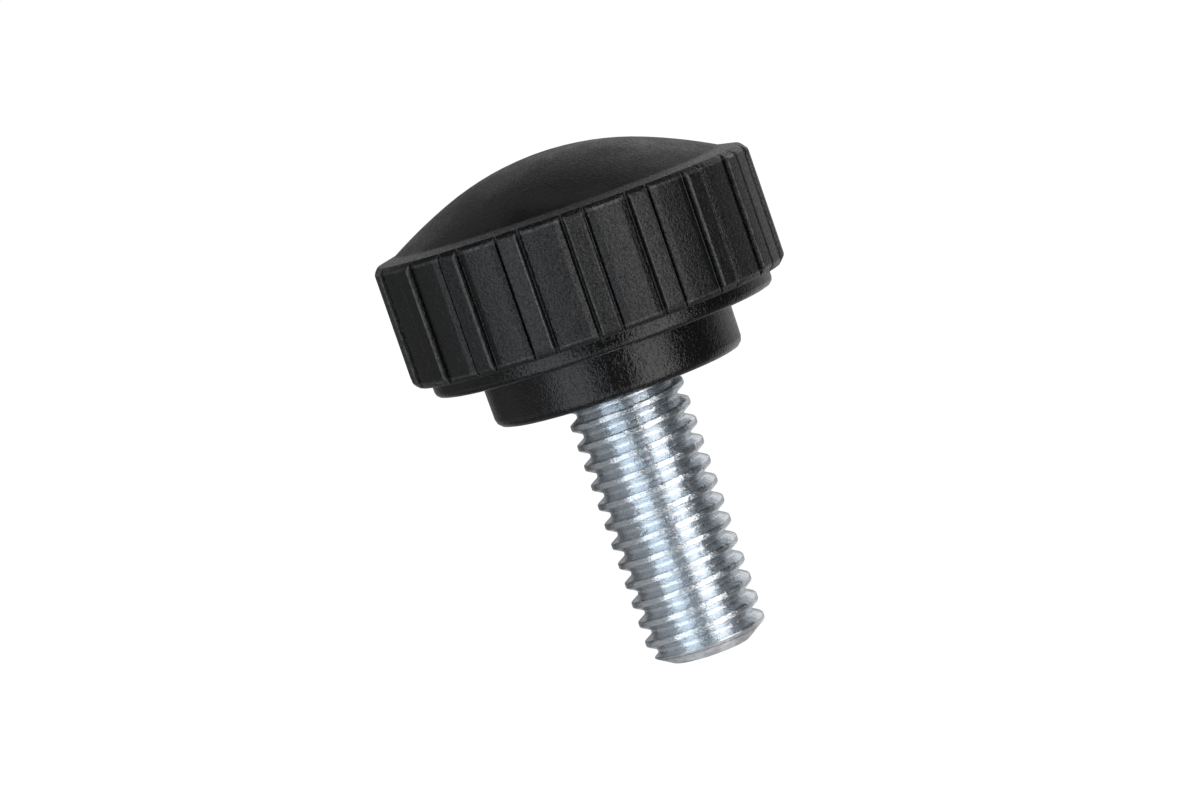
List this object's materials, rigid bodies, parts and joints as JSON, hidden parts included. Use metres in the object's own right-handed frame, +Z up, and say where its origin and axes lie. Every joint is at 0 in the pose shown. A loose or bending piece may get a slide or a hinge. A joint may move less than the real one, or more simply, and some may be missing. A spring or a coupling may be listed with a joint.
{
  "type": "thumb knob",
  "caption": "Round domed thumb knob with a ribbed grip rim, a stepped flange and hub, and a moulded-in threaded metal stud.",
  "frame": {"origin": "centre of the hub's flat seat face, where the threaded stud leaves the plastic", "axes": "+Z up along the knob's axis, from the seat towards the domed crown; the stud points along -Z; the middle of one narrow grip rib lies on -Y"},
  "size_m": [0.0188, 0.0188, 0.0253],
  "materials": {
    "black_plastic": "black moulded plastic with a fine even grain and a soft sheen",
    "plated_steel": "rolled steel thread with bright blue-white zinc plate"
  },
  "bodies": {
    "root": {"knob_head": "black_plastic", "threaded_stud": "plated_steel"}
  },
  "joints": []
}
